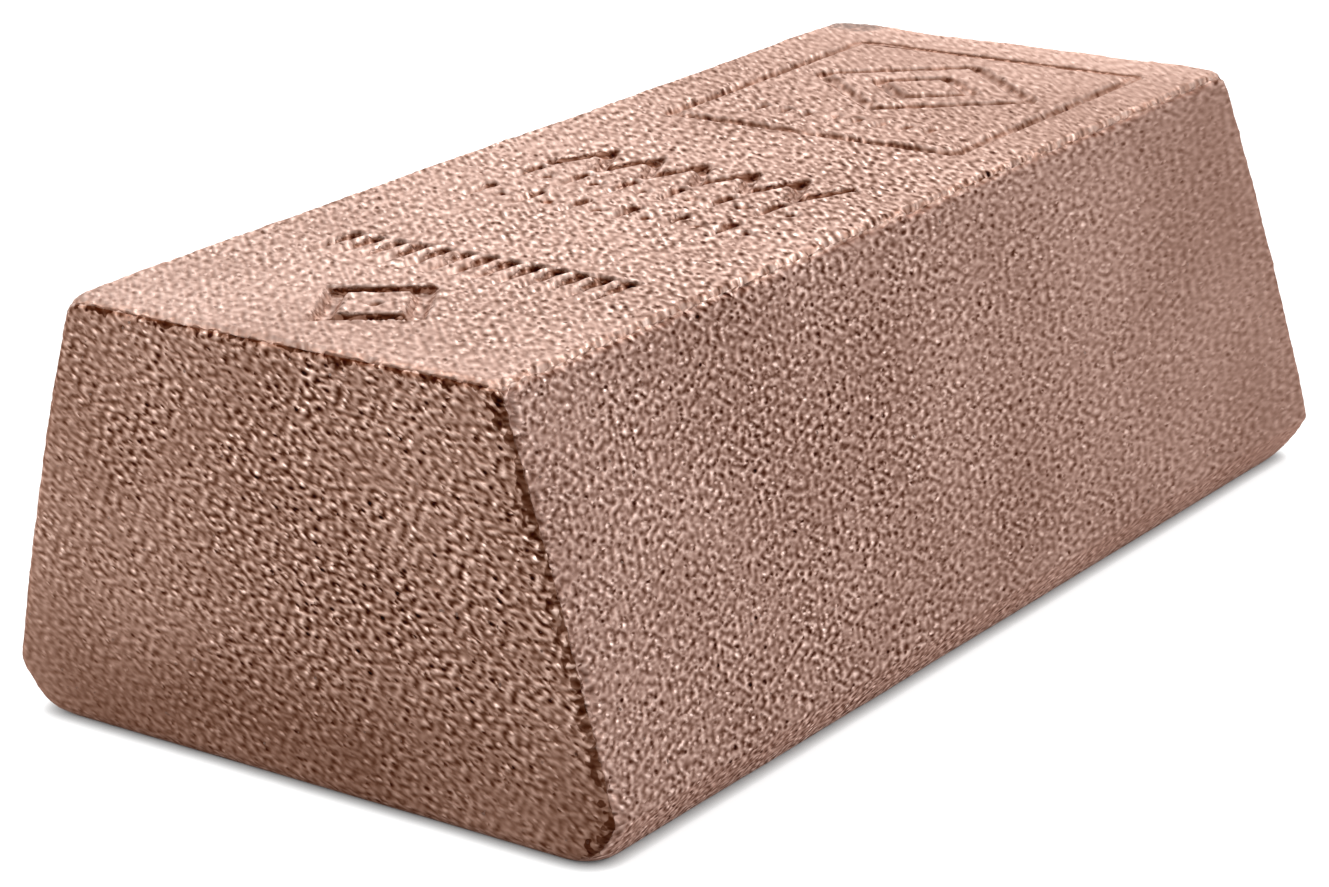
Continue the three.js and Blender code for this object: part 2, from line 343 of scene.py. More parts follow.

# %% Masks of the faces, the painted shaded rim of the end and the highlit crest of the top
END_FACING, FOOT_FACING = (0.45, 0.75), (-0.6, -0.95)
TOP_FACING, LEVEL_FACING = (0.33, 0.60), (0.68, 0.80)
RIM_SIDE_SHARES, RIM_TOP_SHARE = (6.0, 0.6), 1.3
on_end = remap(skin_tree, maths(skin_tree, "ABSOLUTE", y_facing), END_FACING)
on_foot = remap(skin_tree, z_facing, FOOT_FACING)
on_top = remap(skin_tree, z_facing, TOP_FACING)
level_face = remap(skin_tree, z_facing, LEVEL_FACING)
# The distance to the border feeds a painted dark line of shade along the top and upright edges of
# the end face.
side_share = over(skin_tree, x_here, (-2.0, 2.0), RIM_SIDE_SHARES)
to_border = maths(skin_tree, "MINIMUM", maths(skin_tree, "MULTIPLY", to_side, side_share),
                  maths(skin_tree, "MULTIPLY", to_top, RIM_TOP_SHARE))
near_top_edge = over(skin_tree, edge_top_side, (0.3, 1.6), FALL)
# The crest carries a painted highlight along the top edge, paler and warmer.
crest = product(skin_tree, over(skin_tree, to_outline, (0.35, 0.95), FALL),
                over(skin_tree, to_top, (0.30, 0.55), FALL))

# %% Masks of the marks
LEE = (0.62, -0.78)
LEE_FACING = (0.15, 0.45)
SLOPE_FACING = (0.97, 0.80)
in_field = over(skin_tree, to_outline, (1.0, 2.0))
inside_mark = product(skin_tree, over(skin_tree, to_top, (0.05, 0.30)), in_field,
                      over(skin_tree, to_top, (2.0, 3.0), FALL))
# Walls that lean away from the key light carry painted shade in the metal.
leaning = maths(skin_tree, "MULTIPLY_ADD", y_facing, LEE[1],
                maths(skin_tree, "MULTIPLY", x_facing, LEE[0]))
lee_wall_shade = product(skin_tree, inside_mark, remap(skin_tree, leaning, LEE_FACING))
# The sloping sides of the marks get a painted shade tone, darker and browner.
shaded_slope = product(skin_tree, inside_mark, remap(skin_tree, z_facing, SLOPE_FACING))
on_top = maths(skin_tree, "MAXIMUM", on_top, inside_mark)

# %% Masks of the burr and the dark spot
BURR_AT = (-14.0 * MM, 42.8 * MM, 29.3 * MM)
SPOT_AT = (-15.8 * MM, 43.0 * MM, 29.3 * MM)


def spot_round(centre, span_mm, *fades):
    """A soft spot round a place on the skin, narrowed by its fades."""
    away = add_node(skin_tree, "ShaderNodeVectorMath", {"operation": "DISTANCE"}, _0=place,
                    _1=centre).outputs["Value"]
    return product(skin_tree, over(skin_tree, away, span_mm, FALL, smooth=True), *fades)


near_burr = spot_round(BURR_AT, (1.5, 5.0), over(skin_tree, to_end, (0.4, 1.6), FALL))
# A dark grey spot on the far left corner of the top.
corner_spot = spot_round(SPOT_AT, (1.5, 4.2), over(skin_tree, to_end, (0.6, 3.2), FALL),
                   over(skin_tree, to_top, (0.5, 1.3), FALL))
print("with its masks, the tree has", len(skin_tree.nodes), "nodes")

# %% [markdown]
# ## The print of the sand
#
# Four patterns make the relief: a slow swell of the whole face, the coarse print of the sand, the
# round grains, and the wear that has nibbled the edges, more so on the right and at the near end.
# One noise with many octaves would be a single node, but it makes clouds, and round grains need
# Voronoi cells. Each pattern reads the place with a shift of its own, so no two of them rise and
# fall together, and one seed moves them all.

# %% Swell, sand and grains
SHIFTS = {"swell": 3.0, "sand": 11.0, "grains": 23.0, "nibbles": 31.0, "bays": 37.0,
          "blows": 47.0, "weak blows": 53.0}
SHIFT_TURN = 0.7


def at_size(size, pattern):
    """The place divided by a feature size, and shifted by the seed and the pattern's own shift."""
    shift = SHIFTS[pattern]
    scaled = vector_maths(skin_tree, "SCALE", place, maths(skin_tree, "DIVIDE", 1.0, size))
    moved = combine(skin_tree, value_of["Seed"], shift, shift * SHIFT_TURN)
    return vector_maths(skin_tree, "ADD", scaled, moved)


def ripple(size, pattern, detail, roughness=0.5):
    """Noise round zero, about one unit high."""
    noise = add_node(skin_tree, "ShaderNodeTexNoise", Vector=at_size(size, pattern), Scale=1.0,
                     Detail=detail, Roughness=roughness)
    return maths(skin_tree, "MULTIPLY_ADD", noise.outputs[0], 2.0, -1.0)


swell = product(skin_tree, ripple(value_of["Swell size"], "swell", 1.0), value_of["Swell height"])
sand = product(skin_tree, ripple(value_of["Sand size"], "sand", 2.0, 0.6), value_of["Sand height"])
cells = add_node(skin_tree, "ShaderNodeTexVoronoi", {"feature": "F1"},
                 Vector=at_size(value_of["Grain size"], "grains"), Scale=1.0, Randomness=1.0)
domes = maths(skin_tree, "SUBTRACT", 0.5, cells.outputs["Distance"])
grain = maths(skin_tree, "MULTIPLY", domes, value_of["Grain height"])
print("grains stand", round(skin_values["Grain height"][1] / MM, 2), "mm high")

# %% Worn edges
NIBBLES, BAYS = 1.0 * MM, 4.0 * MM
CHIP_SPAN = (-0.25, 0.45)
to_right = over(skin_tree, x_here, (-8.0, 8.0), (0.15, 1.0))
to_near = over(skin_tree, y_here, (8.0, -8.0), (0.15, 0.9))
near_edge = 0.0
for edge, share in ((edge_top_side, to_right), (edge_top_end, to_near),
                    (edge_side_end, maths(skin_tree, "MINIMUM", to_right, to_near))):
    near = over(skin_tree, edge, (0.2, 0.8), FALL, smooth=True)
    near_edge = maths(skin_tree, "MAXIMUM", near_edge, maths(skin_tree, "MULTIPLY", near, share))
waver = total(skin_tree, ripple(NIBBLES, "nibbles", 2.0, 0.6), ripple(BAYS, "bays", 1.0))
chips = product(skin_tree, remap(skin_tree, waver, CHIP_SPAN), near_edge)
wear = product(skin_tree, chips, value_of["Edge wear"], -1.0)
lift = total(skin_tree, swell, sand, grain, wear)
lift = product(skin_tree, lift, maths(skin_tree, "SUBTRACT", 1.0, on_foot))
print("edges wear down by up to", round(skin_values["Edge wear"][1] / MM, 2), "mm")

# %% [markdown]
# ## Marks struck by hand
#
# A punch that is struck by hand never bites evenly, and it pushes up a lip beside each mark. The
# packed marks of one row are cut alike, so here they are filled again by a share that wanders from
# blow to blow. It is larger in the far part, and largest along the far line of the panel. For the
# lip, the depth under the top is evened out over a few points: where the result is more than the
# real depth, a hole is close by, and the metal is raised. Both move points straight up, so the
# walls of the marks stay clean. A noise on the normals would need less, but it would close up the
# narrow cuts.

# %% Uneven blows, lips and the burr
BLOWS, WEAK_BLOWS = 3.5 * MM, 5.0 * MM
BURR_RISE = 0.12 * MM
strike = remap(skin_tree, ripple(BLOWS, "blows", 1.0), (-0.35, 0.30), (0.35, 0.0))
far_line = over(skin_tree, y_here, (36.0, 37.0), (0.0, 0.5))
weak = remap(skin_tree, ripple(WEAK_BLOWS, "weak blows", 1.0), (-0.25, 0.25), (0.40, 0.0))
weak = product(skin_tree, weak, over(skin_tree, y_here, (8.0, 12.0)))
strike = maths(skin_tree, "MAXIMUM", total(skin_tree, strike, far_line), weak)
strike = product(skin_tree, strike, inside_mark)
lee_wall_shade = product(skin_tree, lee_wall_shade, maths(skin_tree, "SUBTRACT", 1.0, strike))
fill = product(skin_tree, strike, to_top)
spread = evened("FLOAT", to_top, value_of["Lip passes"], 1.0)
pushed = product(skin_tree, maths(skin_tree, "SUBTRACT", spread, to_top), in_field)
pushed = maths(skin_tree, "MAXIMUM", pushed, 0.0)
# Mask for a painted highlight on the raised lips beside the marks.
lip_highlight_mask = over(skin_tree, pushed, (0.03, 0.12))
raised = total(skin_tree, fill, product(skin_tree, pushed, value_of["Lip share"]))
raised = maths(skin_tree, "MULTIPLY_ADD", near_burr, BURR_RISE, raised)
print("the burr on the far corner rises by", round(BURR_RISE / MM, 2), "mm")

# %% Lift the skin, store its masks and finish the tree
masks = {
    "border": maths(skin_tree, "DIVIDE", to_border, MM), "end_face": on_end, "top_face": on_top,
    "painted_wall_shade": lee_wall_shade, "top_edge": near_top_edge, "corner_spot": corner_spot, "shaded_slope": shaded_slope,
    "lip_highlight": lip_highlight_mask, "level_face": level_face, "crest": crest,
}
offset = vector_maths(skin_tree, "ADD", vector_maths(skin_tree, "SCALE", normal, lift),
                      combine(skin_tree, 0.0, 0.0, raised))
flow = softened.outputs[0]
for name, mask in masks.items():
    flow = add_node(skin_tree, "GeometryNodeStoreNamedAttribute",
                    {"data_type": "FLOAT", "domain": "POINT"},
                    Geometry=flow, Name=name, Value=mask).outputs[0]
lifted = add_node(skin_tree, "GeometryNodeSetPosition", Geometry=flow, Offset=offset)
place_now = add_node(skin_tree, "GeometryNodeInputPosition").outputs[0]
x_now, y_now, z_now = separate(skin_tree, place_now)
above_bench = combine(skin_tree, x_now, y_now, maths(skin_tree, "MAXIMUM", z_now, 0.0))
seated = add_node(skin_tree, "GeometryNodeSetPosition", Geometry=lifted.outputs[0],
                  Position=above_bench)
smooth = add_node(skin_tree, "GeometryNodeSetShadeSmooth", Geometry=seated.outputs[0])
real = add_node(skin_tree, "GeometryNodeRealizeInstances", Geometry=smooth.outputs[0])
painted = add_node(skin_tree, "GeometryNodeSetMaterial", Geometry=real.outputs[0],
                   Material=value_of["Metal"])
add_node(skin_tree, "NodeGroupOutput", _0=painted.outputs[0])
print("the skin's tree has", len(skin_tree.nodes), "nodes and stores", len(masks), "masks")

# %% [markdown]
# ## The metal
#
# Blasted copper is metal all through, but its skin is not bright. The tops of the grains are rubbed
# to a pale pink, the hollows keep a brown oxide, and the whole is matt because the grains throw the
# light every way.
#
# The grains lie flat in each face, so their pattern is flat too. Object coordinates lay it out in
# the face, and it is turned and drawn out the way that the grain of the face runs. Towards the far
# end the coordinates slow down, which makes the grains larger. A solid noise would be simpler, but
# a face that cuts through it shows lumps of every size.

# %% Places on the metal, and which face they are on
copper = bpy.data.materials.new("cast_copper")
copper.use_nodes = True
metal = copper.node_tree
metal.nodes.clear()
coords = add_node(metal, "ShaderNodeTexCoord").outputs["Object"]
x_at, y_at, z_at = separate(metal, coords)
WANDER = 1.6
FACE_SPAN = (0.45, 0.55)


def noise(size, detail):
    """Noise whose features are about so many metres across."""
    return add_node(metal, "ShaderNodeTexNoise", Vector=coords, Scale=1.0 / size,
                    Detail=detail).outputs[0]


def attribute(name):
    """A mask stored on the skin."""
    return add_node(metal, "ShaderNodeAttribute", {"attribute_name": name}).outputs["Fac"]


def mix_vector(factor, first, second):
    """The first vector at 0 and the second at 1."""
    return add_node(metal, "ShaderNodeMix", {"data_type": "VECTOR"}, _0=factor, _4=first,
                    _5=second).outputs[1]


nibble, breaks = noise(0.55 * MM, 1.0), noise(2.2 * MM, 2.0)


def face_mask(name):
    """A face's mask with a border that wanders by a grain or so."""
    wander = maths(metal, "MULTIPLY_ADD", nibble, WANDER, -WANDER / 2)
    return remap(metal, total(metal, attribute(name), wander), FACE_SPAN)


on_end, on_top, on_level = face_mask("end_face"), face_mask("top_face"), face_mask("level_face")


def by_face(side, end, top, top_mask):
    """One vector for each kind of face."""
    return mix_vector(top_mask, mix_vector(on_end, side, end), top)


# %% Grains laid out in each face
GRAIN = 0.34 * MM
SIDE_LEAN, END_LEAN, TOP_TURN = (math.radians(turn) for turn in (-8.0, -19.0, 48.0))
SIDE_DRAW, END_DRAW, TOP_DRAW = (1.35, 0.90), (1.70, 0.88), (1.08, 2.60)
SIDE_SLOWING, TOP_SLOWING = (-3.1, 0.76), (-0.0024, 0.92)


def laid(across, up, turn, draw):
    """Two coordinates of a face in grains, turned in the face and drawn out."""
    return add_node(metal, "ShaderNodeMapping", {"vector_type": "TEXTURE"},
                    Vector=combine(metal, across, up), Rotation=(0.0, 0.0, turn),
                    Scale=(GRAIN * draw[0], GRAIN * draw[1], 1.0)).outputs[0]


def slowed(value, slowing):
    """A coordinate that runs slower the further it goes."""
    return product(metal, value, maths(metal, "MULTIPLY_ADD", value, *slowing))


top_u, top_v, _ = separate(metal, laid(x_at, y_at, TOP_TURN, TOP_DRAW))
grains = by_face(laid(slowed(y_at, SIDE_SLOWING), z_at, SIDE_LEAN, SIDE_DRAW),
                 laid(x_at, z_at, END_LEAN, END_DRAW),
                 combine(metal, top_u, slowed(top_v, TOP_SLOWING)), on_level)
print("a grain is", round(GRAIN / MM, 2), "mm before it is drawn out")

# %% [markdown]
# ## Grains of one size
#
# Sifted sand has grains of one size, and plain noise has lumps of many. So the mean of a ring of
# neighbours is taken away from the noise: what is wider than the ring goes, and lumps of about its
# width stay. A few loose grains, each pale or dark by chance, lie among them. Voronoi cells alone
# have one size as well, but they look like cobbles.

# %% The band of noise and the loose grains
RING = 6
SIDE_RING, END_RING, TOP_RING = (0.9, 1.5, 0.0), (1.0, 1.35, 0.0), (1.2, 1.2, 0.0)
LOOSE_GRAINS = ((1.1, 0.0), (1.5, 17.3))
BAND_SHARE, LOOSE_SHARE = 0.60, 0.27
ring_reach = by_face(SIDE_RING, END_RING, TOP_RING, on_level)


def flat_noise(vector):
    """One octave of noise in the plane, at one unit a grain."""
    return add_node(metal, "ShaderNodeTexNoise", {"noise_dimensions": "2D"}, Vector=vector,
                    Scale=1.0, Detail=0.0).outputs[0]


def loose_grains(size, shift):
    """Round grains in shallow rings, each pale or dark by chance, and most of them faint."""
    moved = vector_maths(metal, "ADD", grains, (shift, shift, 0.0))
    cells = add_node(metal, "ShaderNodeTexVoronoi", {"voronoi_dimensions": "2D"}, Vector=moved,
                     Scale=1.0 / size, Randomness=1.0)
    own = add_node(metal, "ShaderNodeSeparateColor", _0=cells.outputs["Color"]).outputs[0]
    own = maths(metal, "MULTIPLY_ADD", own, 2.0, -1.0)
    own = product(metal, own, maths(metal, "ABSOLUTE", own))
    dot = remap(metal, cells.outputs["Distance"], (0.08, 0.46), (1.0, -0.25), smooth=True)
    return product(metal, own, dot)


around = 0.0
for i in range(RING):
    angle = 2.0 * math.pi * i / RING
    step = vector_maths(metal, "MULTIPLY", ring_reach, (math.cos(angle), math.sin(angle), 0.0))
    beside = vector_maths(metal, "ADD", grains, step)
    around = maths(metal, "MULTIPLY_ADD", flat_noise(beside), 1.0 / RING, around)
band = maths(metal, "SUBTRACT", flat_noise(grains), around)
loose = total(metal, *(loose_grains(size, shift) for size, shift in LOOSE_GRAINS))
grain = maths(metal, "MULTIPLY_ADD", band, BAND_SHARE, product(metal, loose, LOOSE_SHARE))
print("with its grain, the metal has", len(metal.nodes), "nodes")

# %% [markdown]
# ## How strongly the grain shows
#
# The blast was not even, and the bar is rubbed in places. The grain is strong on the near half of
# the long face and on the end face. It fades towards the far end, towards the left and the foot of
# the end face, and towards the near rim of the top. One slow noise could fade it as well, but not
# where the bar was rubbed. Each fade here is a ramp along an axis, in millimetres, so it can be
# read and changed on its own.

# %% The strength of the grain
BLOTCHES, BLOTCH_SPAN, BLOTCH_SHARES = 4.5 * MM, (0.30, 0.70), (0.80, 1.17)
END_STRENGTH, EDGE_STRENGTH = 1.03, 0.25
TOP_WIDTH = (-15.0, 15.0)
keen = remap(metal, noise(BLOTCHES, 1.0), BLOTCH_SPAN, BLOTCH_SHARES)
side_keen = product(metal, over(metal, y_at, (-42.0, -24.0), (0.88, 1.0)),
                    over(metal, y_at, (-15.0, 36.0), (0.92, 0.30)))
end_keen = product(metal, over(metal, x_at, (-24.0, -4.0), (0.48, 1.0)),
                   over(metal, z_at, (3.0, 12.0), (0.50, 1.0)), END_STRENGTH)
far_lean = product(metal, over(metal, y_at, (5.0, 25.0)),
                   over(metal, x_at, TOP_WIDTH, (0.32, -0.30)))
top_lean = total(metal, far_lean, over(metal, x_at, TOP_WIDTH, (0.92, 1.15)))
top_keen = product(metal, over(metal, y_at, (-42.0, -22.0), (0.43, 0.75)),
                   over(metal, y_at, (10.0, 36.0), (1.0, 0.44)), top_lean)
face_keen = by_face(combine(metal, side_keen), combine(metal, end_keen),
                    combine(metal, top_keen), on_top)
face_keen = maths(metal, "MULTIPLY_ADD", attribute("top_edge"), EDGE_STRENGTH,
                  separate(metal, face_keen)[0])
grain = product(metal, grain, keen, face_keen)
print("with its strength, the metal has", len(metal.nodes), "nodes")

# %% [markdown]
# ## The shade
#
# Under the grain lie the larger differences, each a mask and the amount by which it makes the
# copper lighter or darker: slow patches of tone, and painted light and shade. Painted shade darkens
# the foot of the end face and lays a dark ragged rim along its top and upright edges, a painted
# sheen makes its left side paler, painted highlights brighten the lips beside the marks, and
# painted light across the top darkens it from left to right and along the bar, up to a painted
# highlight on its far rim. Masks that end in a clean line would look printed on, so the finer ones
# are broken up by noise.

# %% Masks made ragged by noise
RAGGED_SHARES, RAGGED_MEAN = (1.8, 1.4), 1.6
RIM_SPAN = (0.28, 0.44)
WALL_SPAN = (0.25, 0.75)
ragged = maths(metal, "MULTIPLY_ADD", nibble, RAGGED_SHARES[0],
               maths(metal, "MULTIPLY", breaks, RAGGED_SHARES[1]))
# Painted shade: a dark ragged rim along the top and upright edges of the end face.
painted_rim_shade = total(metal, attribute("border"), maths(metal, "SUBTRACT", ragged, RAGGED_MEAN))
painted_rim_shade = maths(metal, "SUBTRACT", painted_rim_shade, over(metal, z_at, (12.0, 28.0), (-0.05, 0.20)))
painted_rim_shade = product(metal, remap(metal, painted_rim_shade, RIM_SPAN, FALL), attribute("end_face"))
# Painted highlight on the raised lips beside the marks.
lip_highlight = product(metal, attribute("lip_highlight"), remap(metal, nibble, (0.40, 0.60), (0.2, 1.0)),
              attribute("level_face"))
# Painted highlight, paler and warmer, along the crest of the top edge.
crest_highlight = product(metal, attribute("crest"), remap(metal, nibble, (0.35, 0.60), (0.3, 1.0)))
# Painted shade on the walls of the marks that lean away from the key light, weaker further along
# the bar.
bite = over(metal, y_at, (-16.0, -12.0), (-0.50, -0.38))
shaded_wall = total(metal, attribute("painted_wall_shade"), total(metal, breaks, bite))
shaded_wall = product(metal, remap(metal, shaded_wall, WALL_SPAN),
               remap(metal, attribute("painted_wall_shade"), (0.0, 0.2)),
               over(metal, y_at, (-35.0, -31.0), (0.75, 1.0)),
               over(metal, y_at, (0.0, 12.0), (0.95, 0.40)),
               over(metal, y_at, (36.0, 37.0), (1.0, 0.35)))

# %% Add up the shade
PATCHES, PATCH_SPAN, PATCH_SHADES = 12.0 * MM, (0.30, 0.70), (0.02, -0.03)
LIP_HIGHLIGHT = 0.12
RIM_SMOOTHS = -0.5
TOP_SLANT = 0.15
shade = remap(metal, noise(PATCHES, 2.0), PATCH_SPAN, PATCH_SHADES, smooth=True)
for mask, amount in (
    # painted shade at the foot of the end face
    (on_end, over(metal, z_at, (10.0, 3.0), (0.0, -0.07), smooth=True)),
    # painted shade of the dark rim, darkest near the top
    (painted_rim_shade, over(metal, z_at, (26.0, 28.5), (-0.20, -0.28))),
    # painted highlight on the lips
    (lip_highlight, LIP_HIGHLIGHT),
    # painted sheen along the left side of the end face
    (on_end, over(metal, x_at, (-24.0, -19.0), (0.05, 0.0))),
):
    shade = maths(metal, "MULTIPLY_ADD", mask, amount, shade)
shown = product(metal, grain, maths(metal, "MULTIPLY_ADD", painted_rim_shade, RIM_SMOOTHS, 1.0))
shade = total(metal, shown, shade)
# Painted light across the top: darker from left to right and along the bar, with a painted
# highlight on the far rim.
aslant = maths(metal, "SUBTRACT", x_at, maths(metal, "MULTIPLY", y_at, TOP_SLANT))
painted_top_light = total(metal, over(metal, aslant, (-12.0, 20.0), (0.012, -0.024)),
                  over(metal, y_at, (-40.0, -25.0), (0.022, 0.004)),
                  over(metal, y_at, (-4.0, 14.0), (0.0, -0.045)),
                  over(metal, y_at, (20.0, 30.0), (0.0, 0.015)),
                  over(metal, y_at, (37.5, 40.5), (0.0, 0.050)))
shade = maths(metal, "MULTIPLY_ADD", on_top, painted_top_light, shade)
print("with its shade, the metal has", len(metal.nodes), "nodes")

# %% [markdown]
# ## The colour
#
# Each kind of face has one tone, as the eye sees it, and the tones hold painted light: the top's is
# a paler, greyer lit copy of the copper, and the end's a darker shaded copy. The shade is added to
# all three numbers of the tone, and the sum is raised to a power, which turns it into light. In
# this way one tone gives both the deep brown of the hollows and the pale pink of the grains. Mixing
# a light and a dark colour would need two tones for every face. The sloping sides of the marks get
# a darker, browner tone of painted shade, and their walls that lean away from the key light a brown
# oxide tone of painted shade. The crest of the top edge gets a painted highlight, paler and warmer,
# and a dark grey spot lies on the far corner.

# %% The tones
GAMMA = 2.2
SIDE_TONE = (0.572, 0.459, 0.416)
END_TONE = (0.540, 0.420, 0.366)
TOP_TONE = (0.625, 0.537, 0.499)
SHADED_SLOPE_TONE = (0.588, 0.468, 0.416)
WALL_SHADE_TONE = (0.390, 0.250, 0.190)
CREST_HIGHLIGHT_TONE = (0.100, 0.055, 0.035)
SPOT_GREY = (0.115, 0.105, 0.100, 1.0)
SPOT_SHARE = 0.85
# The top's tone is a painted lit copy, paler and greyer, and the end's a painted shaded copy,
# darker.
tone = by_face(SIDE_TONE, END_TONE, TOP_TONE, on_top)
# Painted shade on the sloping sides of the marks: a darker, browner tone.
tone = mix_vector(attribute("shaded_slope"), tone, SHADED_SLOPE_TONE)
# Painted shade on the walls that lean away from the key light, in a brown oxide tone.
tone = mix_vector(shaded_wall, tone, WALL_SHADE_TONE)
tone = vector_maths(metal, "ADD", tone, combine(metal, shade, shade, shade))
# Painted highlight along the crest of the top edge, paler and warmer.
tone = vector_maths(metal, "ADD", tone, vector_maths(metal, "SCALE", CREST_HIGHLIGHT_TONE, crest_highlight))
tone = vector_maths(metal, "MAXIMUM", tone, (0.0, 0.0, 0.0))
base = vector_maths(metal, "POWER", tone, (GAMMA, GAMMA, GAMMA))
# A dark grey spot on the far left corner.
darkened = total(metal, attribute("corner_spot"), maths(metal, "MULTIPLY_ADD", nibble, WANDER, -WANDER / 2))
darkened = product(metal, remap(metal, darkened, (0.0, 1.0), (0.0, SPOT_SHARE)),
               remap(metal, attribute("corner_spot"), (0.0, 0.1)))
base = add_node(metal, "ShaderNodeMix", {"data_type": "RGBA"}, _0=darkened, _6=base, _7=SPOT_GREY).outputs[2]
print("the tone of the top, as light:", [round(part ** GAMMA, 3) for part in TOP_TONE])

# %% The shader
BUMP_HEIGHT = 0.20 * MM
METALLIC, SPECULAR = 0.5, 0.1
SPECULAR_TINT = (0.90, 0.40, 0.25, 1.0)
rough = remap(metal, shade, (-0.25, 0.25), (0.72, 0.50))
bump = add_node(metal, "ShaderNodeBump", Strength=1.0, Distance=BUMP_HEIGHT, Height=grain)
shader = add_node(metal, "ShaderNodeBsdfPrincipled", Base_Color=base, Metallic=METALLIC,
                  Roughness=rough, Specular_IOR_Level=SPECULAR, Specular_Tint=SPECULAR_TINT,
                  Normal=bump.outputs[0])
add_node(metal, "ShaderNodeOutputMaterial", Surface=shader.outputs[0])
print("copper has", len(metal.nodes), "nodes")

# %% [markdown]
# ## Make the skin
#
# A merged copy of the solid goes into the tree, and each input is set by its identifier before the
# modifier is first evaluated. The result is turned into a plain mesh, and the modifier goes.
#
# The grid has far more triangles than the flat parts need. A Decimate modifier takes them away
# where the skin hardly bends and keeps them on the grains, the edges and the marks. A coarser grid
# would cost less time, but it would blunt the marks first. The relief is left off the face that the
# ingot lies on, so that face stays flat.

# %% Evaluate the skin
SAME_POINT = 1e-6


def triangles_of(mesh):
    """How many triangles a mesh has when its faces are split."""
    return sum(len(face.vertices) - 2 for face in mesh.polygons)


def made_plain(piece, modifier):
    """Gives a piece the mesh that its modifier makes, and takes the modifier away."""
    bpy.context.view_layer.update()
    evaluated = piece.evaluated_get(bpy.context.evaluated_depsgraph_get())
    result = bpy.data.meshes.new_from_object(evaluated)
    piece.modifiers.remove(modifier)
    piece.data = result
    result.name = piece.name
    return result


source = solid.data.copy()
merged = bmesh.new()
merged.from_mesh(source)
bmesh.ops.remove_doubles(merged, verts=merged.verts, dist=SAME_POINT)
merged.to_mesh(source)
merged.free()
skin = bpy.data.objects.new("ingot_skin", source)
bpy.context.scene.collection.objects.link(skin)
layer = skin.modifiers.new("cast skin", "NODES")
layer.node_group = skin_tree
for name, (kind, value) in skin_values.items():
    layer[sockets[name].identifier] = value
layer[sockets["Metal"].identifier] = copper
dense = triangles_of(made_plain(skin, layer))
print("the grid makes", dense, "triangles")

# %% Spend the triangles where the skin turns
TRIANGLES = 196_000
thin = skin.modifiers.new("spare triangles", "DECIMATE")
thin.ratio = TRIANGLES / dense
shape = made_plain(skin, thin)
cast = bmesh.new()
cast.from_mesh(shape)
open_edges = sum(not e.is_manifold for e in cast.edges)
cast.free()
print("the skin keeps", triangles_of(shape), "triangles and has", open_edges, "open edges")
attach(skin, "root")
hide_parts("ingot")

# %% [markdown]
# ## The bench
#
# The ingot lies on a plain white sheet. A sheet that is bright enough to look white throws far too
# much light up at the copper, so this one is two things. For light that spreads it is pale and
# plain. In view it glows white, and a faint diffuse part keeps the cast shadow. The glow is dimmed
# by how much of the sky a point still sees within a short and a longer reach, which gives the dark
# line of contact at the foot of the ingot and the soft shadow round it.

# %% Floor
BENCH_REACH = 2.0
PALE, FAINT, WHITE = ((grey, grey, grey, 1.0) for grey in (0.80, 0.25, 1.0))
CONTACT = ((2.3 * MM, 0.22), (0.9 * MM, 0.85))
SKY_SAMPLES = 8
bench_mesh = bpy.data.meshes.new("bench")
corners = [(x * BENCH_REACH, y * BENCH_REACH, 0) for x, y in ((-1, -1), (1, -1), (1, 1), (-1, 1))]
bench_mesh.from_pydata(corners, [], [(0, 1, 2, 3)])
bench = bpy.data.objects.new("bench", bench_mesh)
bpy.context.scene.collection.objects.link(bench)
sheet = bpy.data.materials.new("white_sheet")
sheet.use_nodes = True
paper = sheet.node_tree
paper.nodes.clear()


def in_view(tree):
    """One for rays of the camera, of gloss and of glass, and nothing for the light that spreads."""
    path = add_node(tree, "ShaderNodeLightPath").outputs
    seen = maths(tree, "MAXIMUM", path["Is Camera Ray"], path["Is Glossy Ray"])
    return maths(tree, "MAXIMUM", seen, path["Is Transmission Ray"])


diffuse = add_node(paper, "ShaderNodeBsdfDiffuse", Color=PALE)
faint = add_node(paper, "ShaderNodeBsdfDiffuse", Color=FAINT)
brightness = 1.0
for reach, fall in CONTACT:
    open_sky = add_node(paper, "ShaderNodeAmbientOcclusion", {"samples": SKY_SAMPLES},
                        Distance=reach).outputs["AO"]
    brightness = product(paper, maths(paper, "POWER", open_sky, fall), brightness)
glow = add_node(paper, "ShaderNodeEmission", Color=WHITE, Strength=brightness)
lit = add_node(paper, "ShaderNodeAddShader", _0=faint.outputs[0], _1=glow.outputs[0])
seen = add_node(paper, "ShaderNodeMixShader", _0=in_view(paper), _1=diffuse.outputs[0],
                _2=lit.outputs[0])
add_node(paper, "ShaderNodeOutputMaterial", Surface=seen.outputs[0])
bench_mesh.materials.append(sheet)
print("the contact shadow reaches, mm:", [round(reach / MM, 1) for reach, fall in CONTACT])

# %% [markdown]
# ## The light
#
# Grain shows by the light and dark sides of each grain, and hard shadows would swamp it, so the
# light is soft. The key box stands high behind the ingot, and makes the top the brightest face. One
# fill lights the long face and another the end face. The world adds a little from all round, and is
# plain white where it is seen. A single small lamp would be less to set, but it would leave one of
# the three faces in the dark.

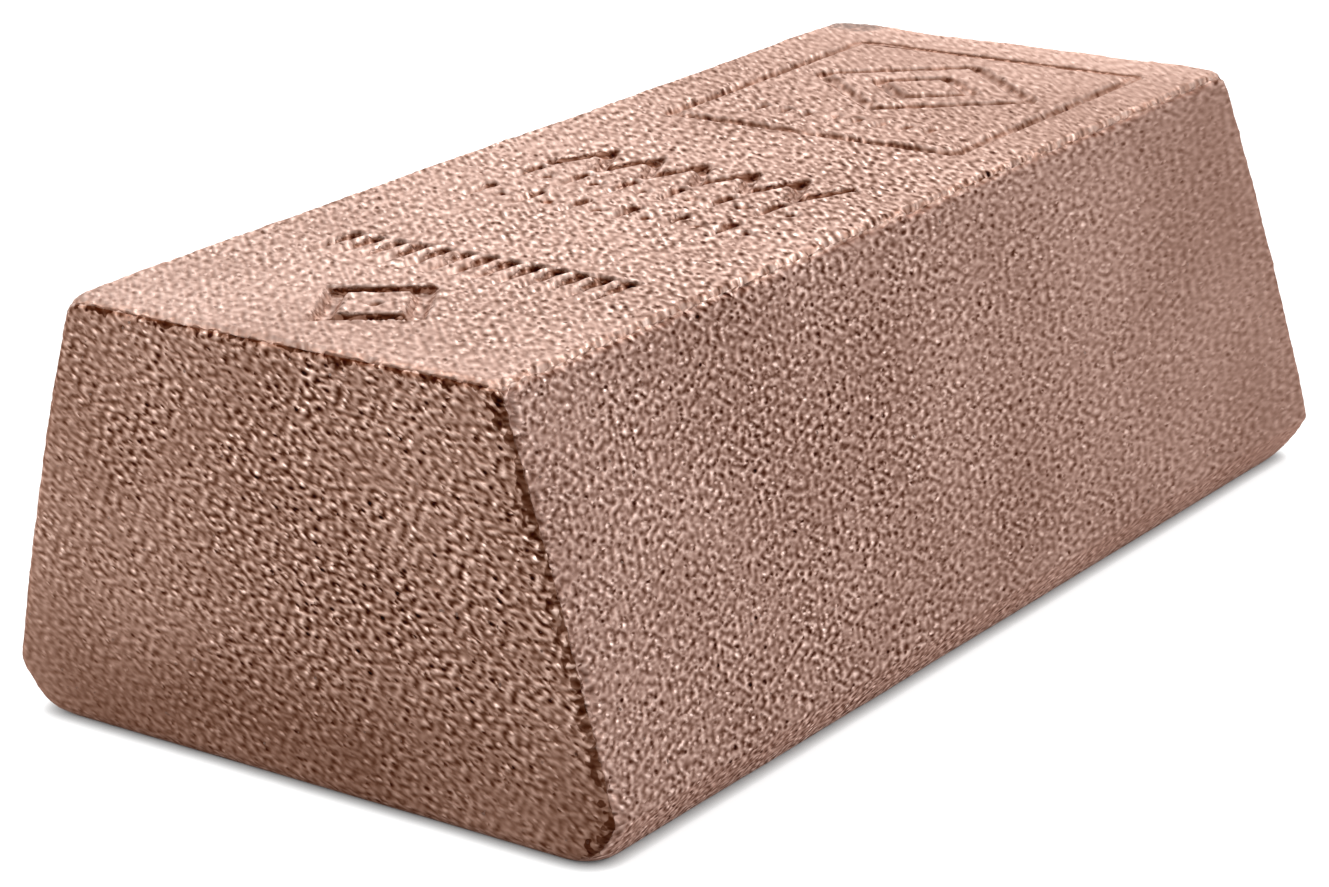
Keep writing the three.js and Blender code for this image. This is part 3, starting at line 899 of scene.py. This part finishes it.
# %% World and lamps
SKY_STRENGTH = 0.16
AIM = Vector((0.0, 0.0, 0.01))
SOFTBOXES = {
    "key": ((-0.20, 0.36, 0.46), 0.30, 2.75),
    "right_fill": ((0.55, 0.05, 0.35), 0.35, 3.1),
    "left_fill": ((-0.25, -0.50, 0.35), 0.35, 3.0),
}
world = bpy.data.worlds.new("studio")
bpy.context.scene.world = world
world.use_nodes = True
sky = world.node_tree
sky.nodes.clear()
soft_light = add_node(sky, "ShaderNodeBackground", Color=WHITE, Strength=SKY_STRENGTH)
white = add_node(sky, "ShaderNodeBackground", Color=WHITE, Strength=1.0)
sky_mix = add_node(sky, "ShaderNodeMixShader", _0=in_view(sky), _1=soft_light.outputs[0],
                   _2=white.outputs[0])
add_node(sky, "ShaderNodeOutputWorld", Surface=sky_mix.outputs[0])


def softbox(name, place, side, power):
    """A square area lamp, side metres across, aimed at the ingot."""
    lamp = bpy.data.lights.new(name, "AREA")
    lamp.shape = "SQUARE"
    lamp.size = side
    lamp.energy = power
    box = bpy.data.objects.new(name, lamp)
    box.location = place
    box.rotation_euler = (AIM - Vector(place)).to_track_quat("-Z", "Y").to_euler()
    bpy.context.scene.collection.objects.link(box)


for name, (place, side, power) in SOFTBOXES.items():
    softbox(name, place, side, power)
    print(name, "stands", round(Vector(place).length, 2), "m away")

# %% [markdown]
# ## The camera
#
# A long lens looks down on the near corner, with the end face on the left and the long face on the
# right. Its place and its turn are kept as a point and three angles in the ingot's frame, so each
# can be changed without the others, which a bare matrix wouldn't allow.

# %% Camera
YAW, PITCH, ROLL = math.radians(-37.300), math.radians(19.190), math.radians(-2.216)
LENS_MM, SENSOR_MM = 101.44, 36.0
NEAREST = 0.01
CAMERA_AT = Vector((148.44, -199.55, 96.33)) * MM
ahead = Vector((math.sin(YAW) * math.cos(PITCH), math.cos(YAW) * math.cos(PITCH), -math.sin(PITCH)))
level = Vector((math.cos(YAW), -math.sin(YAW), 0.0))
upright = level.cross(ahead)
right = math.cos(ROLL) * level + math.sin(ROLL) * upright
up_axis = math.cos(ROLL) * upright - math.sin(ROLL) * level
eye = bpy.data.cameras.new("camera")
eye.lens = LENS_MM
eye.sensor_width = SENSOR_MM
eye.clip_start = NEAREST
camera = bpy.data.objects.new("camera", eye)
camera.matrix_world = Matrix((
    (right.x, up_axis.x, -ahead.x, CAMERA_AT.x),
    (right.y, up_axis.y, -ahead.y, CAMERA_AT.y),
    (right.z, up_axis.z, -ahead.z, CAMERA_AT.z),
    (0.0, 0.0, 0.0, 1.0),
))
bpy.context.scene.collection.objects.link(camera)
bpy.context.scene.camera = camera
bpy.context.scene.view_settings.view_transform = "Standard"
print("camera distance, mm:", round(CAMERA_AT.length / MM, 1))
